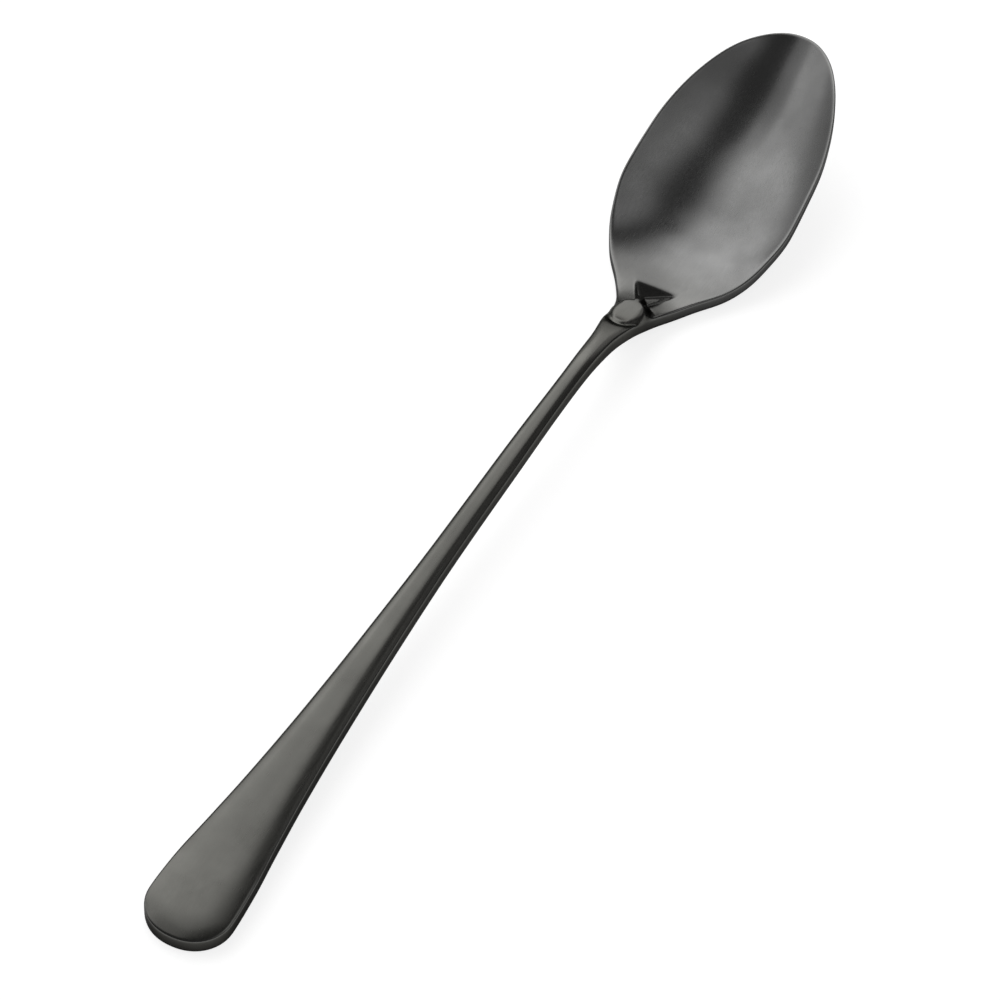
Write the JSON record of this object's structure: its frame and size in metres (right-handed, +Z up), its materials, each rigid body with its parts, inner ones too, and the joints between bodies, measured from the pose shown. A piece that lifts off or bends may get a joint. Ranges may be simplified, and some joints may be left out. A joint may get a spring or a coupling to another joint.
{
  "type": "iced tea spoon",
  "caption": "Long slender spoon for tall glasses, with a small oval bowl, a padded neck and a flared flat handle end.",
  "frame": {"origin": "middle of the spoon's length and width, on the table plane it lies on", "axes": "+X along the spoon from the handle end to the bowl tip, +Y across the spoon to its left, +Z up, out of the open bowl"},
  "size_m": [0.195, 0.0294, 0.0154],
  "materials": {
    "black_steel": "satin"
  },
  "bodies": {
    "root": {"spoon": "black_steel"}
  },
  "joints": []
}
